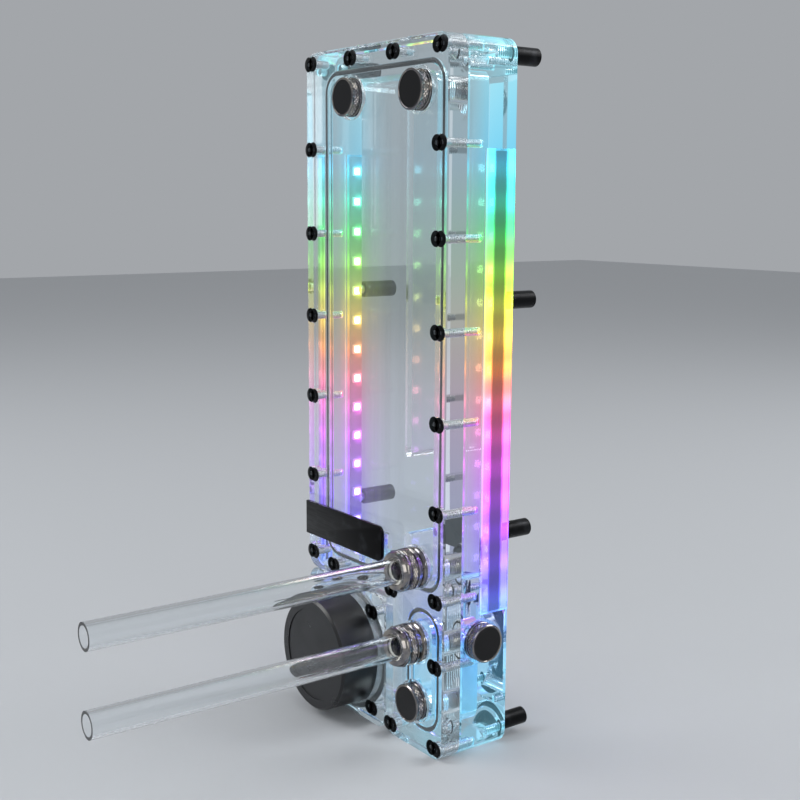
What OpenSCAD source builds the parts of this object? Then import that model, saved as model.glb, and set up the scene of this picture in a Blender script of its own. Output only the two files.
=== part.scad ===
// Coolant pump reservoir: a clear two-layer plate with a milled chamber, a pump in its lower corner,
// threaded ports with plugs and tube fittings, and a light strip down each side.
// It hangs on standoffs on a three-fan bolt grid. X is across, Z is up and -Y is the front.
// The origin is the centre of the bolt grid, on the plane where the standoffs end.

/* [Plate] */
// Width of the plate
plate_w = 125; // [116:1:160]
// Height of the plate
plate_h = 360; // [340:1:440]
// Thickness of the front cover
cover_t = 12; // [10:0.5:15]
// Thickness of the milled block behind the cover
block_t = 30.5; // [30.5:0.5:40]
// Radius of the outer corners
corner_r = 8; // [6:0.5:10]
// Bevel along the polished edges
edge_bevel = 0.6; // [0.3:0.1:1]

/* [Pump corner] */
// Width of the cover's column beside the pump plate
column_w = 49.2; // [46:0.2:54]
// Height of the corner that the pump plate fills
corner_h = 74.6; // [72:0.2:90]
// Gap between the pump plate and the cover
plate_gap = 0.6; // [0.3:0.1:1.5]

/* [Screws] */
// Distance of the cover screws from the plate's edge
screw_inset = 5.75; // [5.5:0.25:7]
// Diameter of the cover screws
screw_d = 4; // [3:0.5:4]
// Diameter of their countersunk heads
screw_head_d = 8; // [6:0.5:8]
// Length of the cover screws
screw_len = 22; // [18:1:22]
// Screws down each side, from the top to the pump corner
side_screws = 7; // [5:1:9]
// Screws along the top
top_screws = 4; // [3:1:5]

/* [Seals] */
// Diameter of the seal cord
cord_d = 2.5; // [2:0.1:3]
// Distance of the seal's middle from the plate's edge
seal_inset = 11.5; // [11:0.25:14]
// Distance from the seal's middle to the chamber wall
seal_land = 4.5; // [3.5:0.25:6]

/* [Chamber] */
// Depth of the chamber, milled from the block's front
chamber_depth = 20; // [16:0.5:22]
// Radius of the chamber's corners
chamber_r = 6; // [4:0.5:8]
// Distance of the divider's middle from the right edge
divider_inset = 37.5; // [34:0.5:44]
// Thickness of the divider wall
divider_t = 5.5; // [3:0.5:7]
// Lowest point of the long upper divider, above the plate's bottom
divider_end = 152; // [140:1:170]
// Top of the short lower divider, above the plate's bottom
divider_foot = 112; // [104:1:125]

/* [Ports] */
// Distance of the port column from the right edge
port_inset = 24; // [23:0.5:26]
// Diameter over the port threads
port_d = 13.2; // [12:0.1:14]
// Diameter of the recess round each port
recess_d = 23; // [22:0.5:25]
// Depth of that recess
recess_depth = 3; // [2:0.5:4]
// Distance of the top ports from the top edge
top_port_drop = 25.5; // [24:0.5:32]
// Distance of the left port from the left edge
left_port_inset = 42.5; // [36:0.5:50]
// Height of the upper tube fitting above the plate's bottom
upper_fitting_z = 97.5; // [96:0.5:102]
// Height of the lower tube fitting
lower_fitting_z = 57.5; // [54:0.5:60]
// Height of the drain plug
drain_z = 25.5; // [24:0.5:28]
// Height of the port in the right side
side_port_z = 60; // [50:0.5:62]

/* [Plugs and fittings] */
// Diameter of the knurled plug heads
plug_d = 20; // [16:0.5:21.5]
// Height of the plug heads
plug_h = 8; // [6:0.5:10]
// Diameter of the tube fittings
fitting_d = 21.6; // [20:0.2:22]
// Length of the fitting above the recess floor
fitting_l = 16.5; // [15:0.5:20]
// Outer diameter of the tubes
tube_d = 13; // [10:0.5:13]
// Wall of the tubes
tube_wall = 1.5; // [1:0.25:2.5]
// How far the tubes reach in front of the cover
tube_reach = 176; // [60:1:200]

/* [Pump] */
// Diameter of the pump's can
pump_d = 62; // [50:0.5:62]
// How far the can stands in front of its plate
pump_reach = 21.5; // [18:0.5:40]
// How far the collar stands out past the can
collar_rim = 4; // [3:0.5:4]
// Thickness of the collar
collar_t = 3.6; // [3:0.2:5]
// Half the spacing of the pump plate's screws
pump_screw_pitch = 27.2; // [26.6:0.1:28]
// Diameter of the impeller
impeller_d = 40; // [34:0.5:42]
// Number of curved vanes on the impeller
vane_count = 7; // [5:1:9]

/* [Lights] */
// Number of lamps on each strip
led_count = 14; // [8:1:14]
// Spacing of the lamps
led_pitch = 16.6; // [12:0.1:16.6]
// Width of the light strips
strip_w = 8; // [6:0.5:10]

/* [Fittings on the outside] */
// Length of the standoffs
standoff_len = 20; // [10:1:30]
// Diameter of the standoffs
standoff_d = 9; // [7:0.5:10]
// Spacing of the bolt holes on one fan
fan_holes = 105; // [105:0.5:105]
// Spacing from one fan to the next
fan_pitch = 120; // [120:0.5:120]
// Width of the black name strip
badge_w = 74.5; // [60:0.5:90]
// Height of the name strip
badge_h = 19; // [14:0.5:22]
// Height of its lower edge above the plate's bottom
badge_z = 93.8; // [90:0.2:110]
// Thickness of the name strip
badge_t = 2; // [1:0.5:3]

/* [Hidden] */

$fn = 48;
slack = 0.05;          // clearance of a piece in its hole or groove
run_gap = 0.3;         // clearance round what moves
seam_gap = 0.1;        // the seals hold the front plates this far off the block
over = 1;              // how far a cut runs past a face

// Planes, from the back to the front
y_back = -standoff_len;
y_seam = y_back - block_t;
y_front = y_seam - cover_t;
cover_back = y_seam - seam_gap;

left = -plate_w / 2;
right = plate_w / 2;
bottom = -plate_h / 2;
top = plate_h / 2;

// The column beside the pump, and the corner's top edge
column_left = right - column_w;
corner_top = bottom + corner_h;
pump_plate_w = plate_w - column_w - plate_gap;
pump_plate_h = corner_h - plate_gap;
pump_offset = 1.2;     // the pump sits this far off its plate's middle, towards the corner
pump_x = left + pump_plate_w / 2 - pump_offset;
pump_z = bottom + pump_plate_h / 2 - pump_offset;

// Seals and chambers
seal_bottom = corner_top + screw_inset + seal_land;
chamber_left = left + seal_inset + seal_land;
chamber_right = right - seal_inset - seal_land;
chamber_top = top - seal_inset - seal_land;
chamber_bottom = seal_bottom + seal_land;
chamber_back = y_seam + chamber_depth;
port_x = right - port_inset;
divider_x = right - divider_inset;

left_port_x = left + left_port_inset;
top_port_z = top - top_port_drop;
port_seal_w = 2 * (port_inset - seal_inset);
port_seal_r = port_seal_w / 2 - 1;
port_seal_bottom = bottom + seal_inset - 2;
port_seal_top = corner_top - 1.5;
port_chamber_w = port_seal_w - 2 * seal_land;
side_port_y = y_seam + 13;

// Ports on the front: [x, z]
FRONT_PORTS = [
    [left_port_x, top_port_z], [port_x, top_port_z],
    [port_x, bottom + upper_fitting_z], [port_x, bottom + lower_fitting_z], [port_x, bottom + drain_z]
];
recess_floor = y_front + recess_depth;
stem_d = port_d - 2 * slack;
stem_len = 6.5;
port_cord = 1.8;

// Screws that hold the cover: [x, z]
screw_left = left + screw_inset;
screw_right = right - screw_inset;
screw_top = top - screw_inset;
side_last = corner_top + screw_inset + 3;
side_step = (screw_top - side_last) / (side_screws - 1);
top_step = (screw_right - screw_left) / (top_screws - 1);
corner_screw_z = corner_top + screw_inset;
column_screw_x = column_left + screw_inset;
foot_screw_x = left + 26.7;
COVER_SCREWS = concat(
    [for (i = [0:side_screws - 1]) [screw_left, screw_top - i * side_step]],
    [for (i = [0:side_screws - 1]) [screw_right, screw_top - i * side_step]],
    [for (i = [1:top_screws - 2]) [screw_left + i * top_step, screw_top]],
    [for (i = [0:2]) [foot_screw_x + i * (column_screw_x - foot_screw_x) / 2, corner_screw_z]],
    [for (x = [column_screw_x, screw_right], z = [bottom + 49, bottom + screw_inset]) [x, z]]
);
PUMP_SCREWS = [for (i = [-1, 1], j = [-1, 1]) [pump_x + i * pump_screw_pitch, pump_z + j * pump_screw_pitch]];
head_h = (screw_head_d - screw_d) / 2 + 0.3;

// Standoffs on the three-fan grid: [x, z]
grid_half_h = (2 * fan_pitch + fan_holes) / 2;
GRID_ROWS = [grid_half_h, grid_half_h - fan_pitch, grid_half_h - 2 * fan_pitch, -grid_half_h];
STANDOFFS = [for (z = GRID_ROWS, x = [-fan_holes / 2, fan_holes / 2]) [x, z]];
stud_d = 4.5;
stud_len = 8;
standoff_hole_d = 4;

// Light strips, standing in slots that open at the back
slot_wall = 3;
slot_w = 4;
slot_depth = 16.5;
strip_t = 0.4;
lamp_size = 5;
lamp_h = 1.6;
lamp_top = top - 62;
strip_end = 8;
slot_len = (led_count - 1) * led_pitch + 2 * strip_end + 2;
slot_top = lamp_top + strip_end + 1;
strip_y = y_back - slot_depth / 2;

// Tube fittings, along their axis
fitting_r = fitting_d / 2;
base_h = 5;                        // the body's round base
tube_seat = base_h - 1;            // where the tube ends inside
spigot_r = tube_d / 2 + 2.1;       // the body's threaded socket
socket_top = fitting_l - 4.5;

// Pump, along its axis
bore_d = pump_d + 2;
collar_d = pump_d + 2 * collar_rim;
cap_t = 3;
can_wall = 2;
can_top = cover_t + pump_reach;
core_r = pump_d / 2 - can_wall - slack;
core_w = 9.85;         // the coils and their core, across the radius
tooth_r = core_r - core_w;
cup_t = 1;
cup_r = tooth_r - 0.6 - cup_t;
core_z = 4.6;
core_h = 14;
TEETH = [30:60:330];
ball_r = 3;
ball_z = 4;
seal_r = collar_d / 2 - 3.5;
volute_r = impeller_d / 2 + 4;
volute_depth = 12.5;
way_d = 11;
way_y = y_seam + 21;
outlet_d = 8;
outlet_y = y_seam + volute_depth - outlet_d / 2 - 0.75;
eye_d = 13;
grommet_angle = 225;

// ---- shared shapes ----

// A flat shape in X and Z, made solid forward from y by t
module slab(y, t) {
    translate([0, y, 0]) rotate([90, 0, 0]) linear_extrude(t) children();
}

// A round bar or hole along Y, forward from y by l
module rod(p, y, l, d, d2 = undef) {
    translate([p[0], y, p[1]]) rotate([90, 0, 0]) cylinder(h = l, d1 = d, d2 = is_undef(d2) ? d : d2);
}

// A rectangle with round corners, from its low corner
module rounded(x, z, w, h, r) {
    translate([x + r, z]) square([w - 2 * r, h]);
    translate([x, z + r]) square([w, h - 2 * r]);
    for (i = [r, w - r], j = [r, h - r]) translate([x + i, z + j]) circle(r);
}

// One bevelled face of a round-cornered plate: it narrows by c over c, forward from y
module bevel_layer(x, z, y, w, h, r, c) {
    for (i = [r, w - r], j = [r, h - r]) rod([x + i, z + j], y, c, 2 * r, 2 * (r - c));
    translate([x, y, z + r]) linear_extrude(h - 2 * r)
        polygon([[0, 0], [w, 0], [w - c, -c], [c, -c]]);
    translate([x + r, y, z]) rotate([90, 0, 90]) linear_extrude(w - 2 * r)
        polygon([[0, 0], [-c, c], [-c, h - c], [0, h]]);
}

// A plate with round corners and bevelled edges, forward from y by t
module plate(x, z, y, w, h, t, r, c) {
    slab(y - c, t - 2 * c) rounded(x, z, w, h, r);
    bevel_layer(x, z, y - t + c, w, h, r, c);
    translate([0, 2 * (y - c), 0]) mirror([0, 1, 0]) bevel_layer(x, z, y - c, w, h, r, c);
}

// A closed cord on a round-cornered rectangle, its middle at y
module cord_loop(x, z, w, h, r, y, d) {
    for (j = [0, h]) translate([x + r, y, z + j]) rotate([0, 90, 0]) cylinder(h = w - 2 * r, d = d);
    for (i = [0, w]) if (h > 2 * r) translate([x + i, y, z + r]) cylinder(h = h - 2 * r, d = d);
    for (q = [[r, r, 180], [w - r, r, 270], [w - r, h - r, 0], [r, h - r, 90]])
        translate([x + q[0], y, z + q[1]]) rotate([90, 0, 0]) rotate([0, 0, q[2]])
            rotate_extrude(angle = 90) translate([r, 0]) circle(d = d);
}

// The flat groove that such a cord lies in
module groove(x, z, w, h, r, band) {
    difference() {
        rounded(x - band / 2, z - band / 2, w + band, h + band, r + band / 2);
        rounded(x + band / 2, z + band / 2, w - band, h - band, r - band / 2);
    }
}

// A countersunk screw along Y, its head level with y
module countersunk_screw(p, y, l) {
    socket_d = screw_d * 0.62;
    difference() {
        union() {
            translate([p[0], y, p[1]]) rotate([-90, 0, 0]) cylinder(h = 0.3, d = screw_head_d);
            translate([p[0], y + 0.3, p[1]]) rotate([-90, 0, 0])
                cylinder(h = head_h - 0.3, d1 = screw_head_d, d2 = screw_d);
            translate([p[0], y, p[1]]) rotate([-90, 0, 0]) cylinder(h = l, d = screw_d);
        }
        translate([p[0], y - over, p[1]]) rotate([-90, 0, 0]) cylinder(h = over + 2, d = socket_d, $fn = 6);
    }
}

// The hole for it in the cover
module countersunk_hole(p, y, t) {
    translate([p[0], y - over, p[1]]) rotate([-90, 0, 0]) cylinder(h = t + 2 * over, d = screw_d + 0.4);
    translate([p[0], y - over, p[1]]) rotate([-90, 0, 0]) cylinder(h = over + 0.35, d = screw_head_d + 0.3);
    translate([p[0], y + 0.34, p[1]]) rotate([-90, 0, 0])
        cylinder(h = head_h - 0.3, d1 = screw_head_d + 0.3, d2 = screw_d + 0.3);
}

// ---- clear plates ----

module front_cover() {
    color([0.86, 0.93, 0.96, 0.4]) difference() {
        union() {
            plate(left, corner_top, cover_back, plate_w, plate_h - corner_h, cover_t - seam_gap,
                corner_r, edge_bevel);
            plate(column_left, bottom, cover_back, column_w, corner_h + 3 * corner_r, cover_t - seam_gap,
                corner_r, edge_bevel);
        }
        for (p = COVER_SCREWS) countersunk_hole(p, y_front, cover_t);
        for (p = FRONT_PORTS) {
            rod(p, y_seam + over, cover_t + 2 * over, port_d);
            rod(p, recess_floor, recess_depth + over, recess_d);
        }
    }
}

module pump_plate() {
    color([0.84, 0.92, 0.96, 0.4]) difference() {
        plate(left, bottom, cover_back, pump_plate_w, pump_plate_h, cover_t - seam_gap,
            corner_r, edge_bevel);
        rod([pump_x, pump_z], y_seam + over, cover_t + 2 * over, bore_d);
        rod([pump_x, pump_z], y_seam + over, collar_t + over + 0.1, collar_d + 1);
        for (p = PUMP_SCREWS) countersunk_hole(p, y_front, cover_t);
    }
}

// The main chamber, split by a divider with a window near its foot
module chamber_shape() {
    difference() {
        rounded(chamber_left, chamber_bottom, chamber_right - chamber_left,
            chamber_top - chamber_bottom, chamber_r);
        translate([divider_x - divider_t / 2, bottom + divider_end + divider_t / 2])
            square([divider_t, plate_h]);
        translate([divider_x, bottom + divider_end + divider_t / 2]) circle(d = divider_t);
        translate([divider_x - divider_t / 2, bottom + chamber_r])
            square([divider_t, divider_foot - chamber_r - divider_t / 2]);
        translate([divider_x, bottom + divider_foot - divider_t / 2]) circle(d = divider_t);
    }
}

// The small chamber behind the lower fitting and the drain
module port_chamber_shape() {
    rounded(port_x - port_chamber_w / 2, port_seal_bottom + seal_land, port_chamber_w,
        port_seal_top - port_seal_bottom - 2 * seal_land, port_seal_r - seal_land);
}

module reservoir_block() {
    pump = [pump_x, pump_z];
    band = cord_d + 2 * slack;
    color([0.8, 0.9, 0.95, 0.4]) difference() {
        plate(left, bottom, y_back, plate_w, plate_h, block_t, corner_r, edge_bevel);
        // chambers
        slab(chamber_back, chamber_depth + over) chamber_shape();
        slab(y_seam + chamber_depth - 2, chamber_depth - 2 + over) port_chamber_shape();
        // seal grooves
        slab(y_seam + cord_d, cord_d + over)
            groove(left + seal_inset, seal_bottom, plate_w - 2 * seal_inset,
                top - seal_inset - seal_bottom, chamber_r + seal_land, band);
        slab(y_seam + cord_d, cord_d + over)
            groove(port_x - port_seal_w / 2, port_seal_bottom, port_seal_w,
                port_seal_top - port_seal_bottom, port_seal_r, band);
        slab(y_seam + cord_d, cord_d + over) translate(pump) difference() {
            circle(seal_r + band / 2);
            circle(seal_r - band / 2);
        }
        // pump: volute, eye, way up to the chamber and way across to the ports
        rod(pump, y_seam + volute_depth, volute_depth + over, 2 * volute_r);
        rod(pump, way_y, way_y - y_seam, eye_d);
        translate([pump_x, way_y, pump_z]) cylinder(h = chamber_bottom + 8 - pump_z, d = way_d);
        translate([pump_x, way_y, pump_z]) sphere(d = eye_d);
        translate([pump_x, outlet_y, pump_z - volute_r + outlet_d / 2 + 1])
            rotate([0, 90, 0]) cylinder(h = port_x - pump_x, d = outlet_d);
        // port in the right side
        translate([port_x, side_port_y, bottom + side_port_z]) rotate([0, 90, 0]) {
            cylinder(h = port_inset + over, d = port_d);
            translate([0, 0, port_inset - recess_depth]) cylinder(h = recess_depth + over, d = recess_d);
        }
        // holes for screws and standoffs
        for (p = concat(COVER_SCREWS, PUMP_SCREWS))
            rod(p, y_front + screw_len + 1, screw_len - cover_t + 1 + over, screw_d + 2 * slack);
        for (p = STANDOFFS) rod(p, y_back + over, stud_len + 1 + over, stud_d + 2 * slack);
        // slots for the light strips
        for (x = [left + slot_wall, right - slot_wall - slot_w])
            translate([x, y_back - slot_depth, slot_top - slot_len]) cube([slot_w, slot_depth + over, slot_len]);
    }
}

// ---- seals ----

module reservoir_seal() {
    color([0.04, 0.04, 0.05]) cord_loop(left + seal_inset, seal_bottom, plate_w - 2 * seal_inset,
        top - seal_inset - seal_bottom, chamber_r + seal_land, y_seam + cord_d / 2, cord_d);
}

module port_seal() {
    color([0.04, 0.04, 0.05]) cord_loop(port_x - port_seal_w / 2, port_seal_bottom, port_seal_w,
        port_seal_top - port_seal_bottom, port_seal_r, y_seam + cord_d / 2, cord_d);
}

// ---- fasteners ----

module cover_screws() {
    color([0.07, 0.07, 0.08]) for (p = COVER_SCREWS) countersunk_screw(p, y_front, screw_len);
}

module pump_plate_screws() {
    color([0.07, 0.07, 0.08]) for (p = PUMP_SCREWS) countersunk_screw(p, y_front, screw_len);
}

module standoffs() {
    color([0.05, 0.05, 0.06]) for (p = STANDOFFS) difference() {
        union() {
            rod(p, 0, standoff_len - 0.6, standoff_d);
            rod(p, -standoff_len + 0.6, 0.6, standoff_d, standoff_d - 1.2);
            rod(p, 0, standoff_len + stud_len, stud_d);
        }
        rod(p, over, standoff_len - 6 + over, standoff_hole_d);
    }
}

module name_strip() {
    r = 4;
    color([0.03, 0.03, 0.035]) slab(y_front, badge_t)
        translate([left, bottom + badge_z]) {
            square([badge_w - r, badge_h]);
            translate([0, r]) square([badge_w, badge_h - 2 * r]);
            for (j = [r, badge_h - r]) translate([badge_w - r, j]) circle(r);
        }
}

// ---- plugs ----

// A knurled plug about Z: its seat at 0 and its head upwards
module plug() {
    r = plug_d / 2;
    rotate_extrude() polygon([
        [0, -stem_len], [stem_d / 2 - 0.8, -stem_len], [stem_d / 2, -stem_len + 0.8],
        [stem_d / 2, -1.2], [stem_d / 2 - 0.6, -1.2], [stem_d / 2 - 0.6, 0.9], [r - 1.4, 0.9],
        [r - 1.4, 0.1], [r, 0.1], [r, 1.3], [r - 0.7, 1.3], [r - 0.7, 2.1], [r, 2.1],
        [r, plug_h - 0.6], [r - 0.6, plug_h], [0, plug_h]
    ]);
}

// The ring under its head
module plug_ring() {
    rotate_extrude() translate([stem_d / 2 + 0.95, 0]) intersection() {
        circle(d = port_cord + 0.1);
        translate([-2, 0.02]) square([4, 0.84]);
    }
}

module on_front(p) { translate([p[0], recess_floor, p[1]]) rotate([90, 0, 0]) children(); }
module on_side() {
    translate([right - recess_depth, side_port_y, bottom + side_port_z]) rotate([0, 90, 0]) children();
}

module top_left_plug() { color([0.6, 0.6, 0.62]) on_front(FRONT_PORTS[0]) plug(); }
module top_right_plug() { color([0.6, 0.6, 0.62]) on_front(FRONT_PORTS[1]) plug(); }
module drain_plug() { color([0.6, 0.6, 0.62]) on_front(FRONT_PORTS[4]) plug(); }
module side_plug() { color([0.6, 0.6, 0.62]) on_side() plug(); }

module top_left_plug_seal() { color([0.04, 0.04, 0.05]) on_front(FRONT_PORTS[0]) plug_ring(); }
module top_right_plug_seal() { color([0.04, 0.04, 0.05]) on_front(FRONT_PORTS[1]) plug_ring(); }
module drain_plug_seal() { color([0.04, 0.04, 0.05]) on_front(FRONT_PORTS[4]) plug_ring(); }
module side_plug_seal() { color([0.04, 0.04, 0.05]) on_side() plug_ring(); }

// ---- tube fittings, about Z: seat at 0 and the tube upwards ----

module fitting_body() {
    rotate_extrude() polygon([
        [tube_d / 2 - tube_wall, -stem_len], [stem_d / 2 - 0.8, -stem_len], [stem_d / 2, -stem_len + 0.8],
        [stem_d / 2, -1.2], [stem_d / 2 - 0.6, -1.2], [stem_d / 2 - 0.6, 0.9], [fitting_r - 1.6, 0.9],
        [fitting_r - 1.6, 0], [fitting_r - 0.4, 0], [fitting_r - 0.4, 3.4], [fitting_r - 1, 4],
        [fitting_r - 1.6, 4], [fitting_r - 1.6, base_h], [spigot_r, base_h], [spigot_r, socket_top],
        [tube_d / 2 + slack, socket_top], [tube_d / 2 + slack, tube_seat],
        [tube_d / 2 - tube_wall, tube_seat]
    ]);
}

module fitting_collar() {
    lip = tube_d / 2 + run_gap;
    difference() {
        union() {
            translate([0, 0, base_h + 0.3]) cylinder(h = 5.4, r = fitting_r);
            translate([0, 0, base_h + 5]) cylinder(h = fitting_l - base_h - 6.6, r = fitting_r, $fn = 12);
            translate([0, 0, fitting_l - 1.8]) cylinder(h = 1.8, r1 = fitting_r - 0.6, r2 = fitting_r - 1.4);
        }
        translate([0, 0, base_h]) cylinder(h = socket_top - base_h + 3.2, r = spigot_r + 0.1);
        translate([0, 0, base_h]) cylinder(h = fitting_l, r = lip);
    }
}

module fitting_seals() {
    plug_ring();
    rotate_extrude() translate([tube_d / 2 + 1.05, socket_top + 0.95]) circle(d = 1.8);
}

module grip_ring() {
    translate([0, 0, socket_top + 1.95]) difference() {
        cylinder(h = 0.95, r = spigot_r - 0.1);
        translate([0, 0, -over]) cylinder(h = 1 + 2 * over, r = tube_d / 2 + slack);
    }
}

module tube() {
    translate([0, 0, tube_seat + slack]) difference() {
        cylinder(h = tube_reach + recess_depth - tube_seat, d = tube_d);
        translate([0, 0, -over]) cylinder(h = tube_reach + 2 * over, d = tube_d - 2 * tube_wall);
    }
}

module upper_fitting_body() { color([0.6, 0.6, 0.62]) on_front(FRONT_PORTS[2]) fitting_body(); }
module upper_fitting_collar() { color([0.6, 0.6, 0.62]) on_front(FRONT_PORTS[2]) fitting_collar(); }
module upper_fitting_seals() { color([0.04, 0.04, 0.05]) on_front(FRONT_PORTS[2]) fitting_seals(); }
module upper_grip_ring() { color([0.9, 0.9, 0.88]) on_front(FRONT_PORTS[2]) grip_ring(); }
module upper_tube() { color([0.9, 0.93, 0.95, 0.4]) on_front(FRONT_PORTS[2]) tube(); }
module lower_fitting_body() { color([0.6, 0.6, 0.62]) on_front(FRONT_PORTS[3]) fitting_body(); }
module lower_fitting_collar() { color([0.6, 0.6, 0.62]) on_front(FRONT_PORTS[3]) fitting_collar(); }
module lower_fitting_seals() { color([0.04, 0.04, 0.05]) on_front(FRONT_PORTS[3]) fitting_seals(); }
module lower_grip_ring() { color([0.9, 0.9, 0.88]) on_front(FRONT_PORTS[3]) grip_ring(); }
module lower_tube() { color([0.9, 0.93, 0.95, 0.4]) on_front(FRONT_PORTS[3]) tube(); }

// ---- pump, about Z: 0 on the block's face and the can upwards ----

module on_pump() { translate([pump_x, y_seam, pump_z]) rotate([90, 0, 0]) children(); }

module pump_can() {
    r = pump_d / 2;
    color([0.05, 0.05, 0.055]) on_pump() difference() {
        rotate_extrude() polygon([
            [cup_r + 3, 0], [collar_d / 2, 0], [collar_d / 2, collar_t - 0.4], [collar_d / 2 - 0.4, collar_t],
            [r, collar_t], [r, can_top - cap_t], [r - can_wall, can_top - cap_t],
            [r - can_wall, collar_t], [cup_r + 3, collar_t]
        ]);
        rotate(grommet_angle) translate([r - 2 * can_wall, 0, can_top - 9]) rotate([0, 90, 0])
            cylinder(h = 3 * can_wall, d = 6 + 2 * slack);
    }
}

module pump_end_cap() {
    r = pump_d / 2;
    color([0.06, 0.06, 0.065]) on_pump() difference() {
        rotate_extrude() polygon([
            [0, can_top - cap_t - 1.5], [r - can_wall - slack, can_top - cap_t - 1.5],
            [r - can_wall - slack, can_top - cap_t], [r, can_top - cap_t],
            [r, can_top - 1.2], [r - 1.2, can_top], [0, can_top]
        ]);
        translate([0, 0, can_top - 0.5]) cylinder(h = over, r = r - 6);
    }
}

module pump_seal() {
    color([0.04, 0.04, 0.05]) on_pump() translate([0, 0, -cord_d / 2])
        rotate_extrude() translate([seal_r, 0]) circle(d = cord_d);
}

// Points of an arc round the origin
function arc(r, a, b, n) = [for (i = [0:n]) r * [cos(a + (b - a) * i / n), sin(a + (b - a) * i / n)]];

// The thin steel bowl that keeps the wet rotor apart from the coils
module rotor_cup() {
    lip_r = cup_r + 3 - slack;
    color([0.7, 0.71, 0.72]) on_pump() rotate_extrude() polygon(concat(
        [[cup_r, 0], [lip_r, 0], [lip_r, cup_t]],
        arc(cup_r + cup_t, 3.1, 90, 16), arc(cup_r, 90, 0, 16)
    ));
}

module bearing_post() {
    foot_z = sqrt(cup_r * cup_r - 4) - slack;
    color([0.75, 0.75, 0.76]) on_pump() difference() {
        translate([0, 0, ball_z + 1.6]) cylinder(h = foot_z - ball_z - 1.6, r = 2);
        translate([0, 0, ball_z]) sphere(ball_r + 0.02);
    }
}

module bearing_ball() {
    color([0.93, 0.92, 0.88]) on_pump() translate([0, 0, ball_z]) sphere(ball_r);
}

// The laminated core with a tooth for each coil
module stator() {
    color([0.35, 0.35, 0.37]) on_pump() translate([0, 0, core_z]) linear_extrude(core_h) {
        difference() {
            circle(core_r);
            circle(core_r - 3);
        }
        for (a = TEETH) rotate(a) translate([tooth_r, -1.5]) square([core_r - 1.5 - tooth_r, 3]);
    }
}

module windings() {
    in_r = tooth_r + 0.8;
    out_r = core_r - 4.2;
    color([0.72, 0.38, 0.16]) on_pump() for (a = TEETH) rotate(a) difference() {
        translate([in_r, -3.6, core_z - 0.9]) cube([out_r - in_r, 7.2, core_h + 1.8]);
        translate([in_r - over, -1.6, core_z - 0.1]) cube([out_r, 3.2, core_h + 0.2]);
    }
}

module control_board() {
    board_z = core_z + core_h + 3;
    color([0.05, 0.25, 0.12]) on_pump() {
        translate([0, 0, board_z]) cylinder(h = 1.6, r = core_r - 0.6);
        for (a = [30, 150, 270]) rotate(a) translate([core_r - 1.8, 0, core_z + core_h])
            cylinder(h = board_z - core_z - core_h + 0.2, r = 1.1);
        for (i = [-1, 1]) translate([9 * i, 6, board_z + 1.5]) cylinder(h = 3.4, r = 2.4);
        translate([-7, -14, board_z + 1.5]) cube([14, 8, 1.6]);
    }
}

// Rubber grommet where the lead leaves the can
module cable_grommet() {
    r = pump_d / 2;
    color([0.03, 0.03, 0.03]) on_pump() rotate(grommet_angle) translate([0, 0, can_top - 9]) rotate([0, 90, 0]) {
        translate([0, 0, r - can_wall]) cylinder(h = can_wall + 3, d = 6);
        translate([0, 0, r + 0.25]) cylinder(h = 1.2, d = 8.4);
    }
}

module impeller() {
    disc_z = -run_gap - 0.2;
    shroud_z = -volute_depth + 0.7;
    vane_h = disc_z - 1 - 0.4 - shroud_z;
    r = impeller_d / 2;
    color([0.86, 0.87, 0.88]) on_pump() {
        // hub with the socket that rides on the ball, and the disc behind the vanes
        difference() {
            union() {
                translate([0, 0, disc_z - 1.5]) cylinder(h = 1.5, r = r);
                translate([0, 0, disc_z - 0.1]) cylinder(h = ball_z + 1 - disc_z, r = 6.4);
                translate([0, 0, disc_z - 4.5]) cylinder(h = 3.1, r1 = 1.5, r2 = 4);
            }
            translate([0, 0, ball_z]) sphere(ball_r + slack);
            translate([0, 0, ball_z + 0.9]) cylinder(h = 8, r = 3.3);
        }
        translate([0, 0, shroud_z + 0.4]) linear_extrude(vane_h)
            for (i = [0:vane_count - 1]) rotate(i * 360 / vane_count) vane(eye_d / 2 + 1.7, r - 0.4);
        translate([0, 0, shroud_z]) difference() {
            cylinder(h = 1.2, r = r);
            translate([0, 0, -over]) cylinder(h = 1.2 + 2 * over, d = eye_d + 1.8);
        }
    }
}

// One backward-curved vane, from radius a to radius b
module vane(a, b) {
    sweep = 62;
    half_t = 0.75;
    function at(i, side) = let (t = i / 10, r = a + (b - a) * t, w = sweep * t + side * half_t / r * 57.3)
        r * [cos(w), sin(w)];
    polygon(concat([for (i = [0:10]) at(i, -1)], [for (i = [10:-1:0]) at(i, 1)]));
}

module rotor_magnet() {
    low = -run_gap + 0.1;
    color([0.25, 0.25, 0.27]) on_pump() difference() {
        intersection() {
            sphere(cup_r - 0.7);
            translate([0, 0, low]) cylinder(h = cup_r, r = cup_r);
        }
        translate([0, 0, low - over]) cylinder(h = 2 * cup_r, r = 6.45);
    }
}

// ---- lights ----

// A strip against the outer wall of its slot, and the lamps along it, on the left side
module light_strip() {
    color([0.92, 0.92, 0.9]) translate([left + slot_wall, strip_y - strip_w / 2, slot_top - slot_len + 1])
        cube([strip_t, strip_w, slot_len - 2]);
}

module lamps() {
    color([0.6, 0.9, 1]) for (i = [0:led_count - 1])
        translate([left + slot_wall + strip_t, strip_y - lamp_size / 2, lamp_top - i * led_pitch - lamp_size / 2])
            difference() {
                cube([lamp_h, lamp_size, lamp_size]);
                translate([lamp_h - 0.3, lamp_size / 2, lamp_size / 2]) rotate([0, 90, 0])
                    cylinder(h = 1, d = lamp_size * 0.76);
            }
}

module left_light_strip() { light_strip(); }
module right_light_strip() { mirror([1, 0, 0]) light_strip(); }
module left_lamps() { lamps(); }
module right_lamps() { mirror([1, 0, 0]) lamps(); }

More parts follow.
